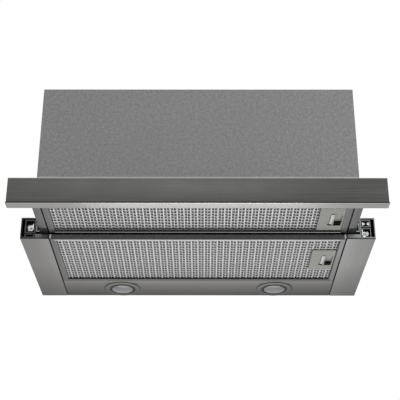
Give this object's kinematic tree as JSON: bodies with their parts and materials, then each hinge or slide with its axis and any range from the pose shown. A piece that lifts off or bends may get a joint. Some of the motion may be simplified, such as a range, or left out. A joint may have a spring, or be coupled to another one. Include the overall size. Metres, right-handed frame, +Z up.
{
  "type": "pull out range hood",
  "caption": "Slim hood for a wall cabinet: grey blower housing, brushed steel base with lamps, and a tray with a grease filter that slides out behind a steel front bar.",
  "frame": {"origin": "middle of the cabinet's lower front edge: centre of the width, plane of the base's front, height of the ledges the cabinet rests on", "axes": "+X to the right seen from the front, +Y towards the wall, +Z up"},
  "size_m": [0.598, 0.4081, 0.3343],
  "materials": {
    "brushed_steel": "fine brushing along the width",
    "grey_paint": "silver grey paint with a fine speckle",
    "zinc_steel": "zinc plated",
    "dark_steel": "dark grey, satin",
    "runner_steel": "mid grey, satin",
    "mesh_aluminium": "expanded mesh, bright",
    "frame_aluminium": "satin",
    "dark_plastic": "satin black",
    "grey_plastic": "light grey",
    "latch_plastic": "warm light grey",
    "black_plastic": "black",
    "frosted_lens": "frosted",
    "bright_steel": "bright zinc"
  },
  "bodies": {
    "hood": {"upper_cover": "grey_paint", "lower_housing": "grey_paint", "top_panel": "grey_paint", "back_panel": "grey_paint", "duct_collar": "grey_plastic", "scroll_left": "black_plastic", "scroll_right": "black_plastic", "motor": "zinc_steel", "motor_bracket": "zinc_steel", "capacitor": "grey_plastic", "terminal_box": "black_plastic", "cable_gland": "black_plastic", "micro_switch": "black_plastic", "left_block_cover": "brushed_steel", "left_end_bracket": "dark_plastic", "left_side_channel": "zinc_steel", "left_fixed_rail": "zinc_steel", "left_clamp_screw": "bright_steel", "left_clamp_plate": "bright_steel", "right_block_cover": "brushed_steel", "right_end_bracket": "grey_plastic", "right_side_channel": "zinc_steel", "right_fixed_rail": "zinc_steel", "right_clamp_screw": "bright_steel", "right_clamp_plate": "bright_steel", "lamp_panel": "brushed_steel", "left_lamp_bezel": "brushed_steel", "left_lamp_lens": "frosted_lens", "left_lamp_body": "zinc_steel", "right_lamp_bezel": "brushed_steel", "right_lamp_lens": "frosted_lens", "right_lamp_body": "zinc_steel"},
    "front_flap": {"front_flap": "dark_plastic"},
    "rear_flap": {"rear_flap": "dark_plastic"},
    "fan": {"impeller": "dark_plastic", "motor_shaft": "bright_steel"},
    "switch_plunger": {"switch_plunger": "grey_plastic"},
    "rear_filter": {"rear_filter_frame": "frame_aluminium", "rear_filter_mesh": "mesh_aluminium", "rear_filter_core": "mesh_aluminium", "rear_latch_plate": "latch_plastic", "rear_latch_spring": "bright_steel"},
    "rear_latch": {"rear_latch_handle": "latch_plastic"},
    "tray": {"front_bar": "brushed_steel", "bar_carrier": "dark_steel", "tray_frame": "dark_steel", "tray_top_plate": "grey_paint", "left_slide_runner": "runner_steel", "right_slide_runner": "runner_steel", "left_slide_shoe": "dark_plastic", "right_slide_shoe": "dark_plastic", "control_plate": "black_plastic"},
    "front_filter": {"front_filter_frame": "frame_aluminium", "front_filter_mesh": "mesh_aluminium", "front_filter_core": "mesh_aluminium", "front_latch_plate": "latch_plastic", "front_latch_spring": "bright_steel"},
    "front_latch": {"front_latch_handle": "latch_plastic"},
    "speed_switch": {"speed_switch": "grey_plastic"},
    "light_switch": {"light_switch": "grey_plastic"}
  },
  "joints": [
    {"name": "tray_slide", "type": "slide", "parent": "hood", "child": "tray", "axis": [0, 1, 0], "range_m": [0, 0.1215]},
    {"name": "rear_filter_swing", "type": "hinge", "parent": "hood", "child": "rear_filter", "pos_m": [-0.2485, 0, -0.0378], "axis": [0, -1, 0], "range_deg": [-80, 0]},
    {"name": "front_filter_swing", "type": "hinge", "parent": "tray", "child": "front_filter", "pos_m": [-0.2485, -0.1215, -0.0278], "axis": [0, -1, 0], "range_deg": [-80, 0]},
    {"name": "rear_latch_slide", "type": "slide", "parent": "rear_filter", "child": "rear_latch", "axis": [-1, 0, 0], "range_m": [0, 0.0038], "stiffness_N_per_m": 300, "springref_m": -0.002, "deforming": ["rear_latch_spring"]},
    {"name": "front_latch_slide", "type": "slide", "parent": "front_filter", "child": "front_latch", "axis": [-1, 0, 0], "range_m": [0, 0.0038], "stiffness_N_per_m": 300, "springref_m": -0.002, "deforming": ["front_latch_spring"]},
    {"name": "fan_spin", "type": "hinge", "parent": "hood", "child": "fan", "pos_m": [0, 0.17615, 0.104], "axis": [1, 0, 0], "continuous": true},
    {"name": "front_flap_hinge", "type": "hinge", "parent": "hood", "child": "front_flap", "pos_m": [0, 0.13365, 0.2658], "axis": [-1, 0, 0], "range_deg": [0, 75]},
    {"name": "rear_flap_hinge", "type": "hinge", "parent": "hood", "child": "rear_flap", "pos_m": [0, 0.13365, 0.2658], "axis": [1, 0, 0], "range_deg": [0, 75]},
    {"name": "plunger_press", "type": "slide", "parent": "hood", "child": "switch_plunger", "axis": [0, 1, 0], "range_m": [0, 0.002], "stiffness_N_per_m": 300, "springref_m": -0.002},
    {"name": "speed_switch_slide", "type": "slide", "parent": "tray", "child": "speed_switch", "axis": [1, 0, 0], "range_m": [0, 0.0204]},
    {"name": "light_switch_slide", "type": "slide", "parent": "tray", "child": "light_switch", "axis": [1, 0, 0], "range_m": [0, 0.0104]}
  ],
  "couplings": [
    {"joint": "rear_flap_hinge", "follows": "front_flap_hinge", "ratio": 1}
  ]
}
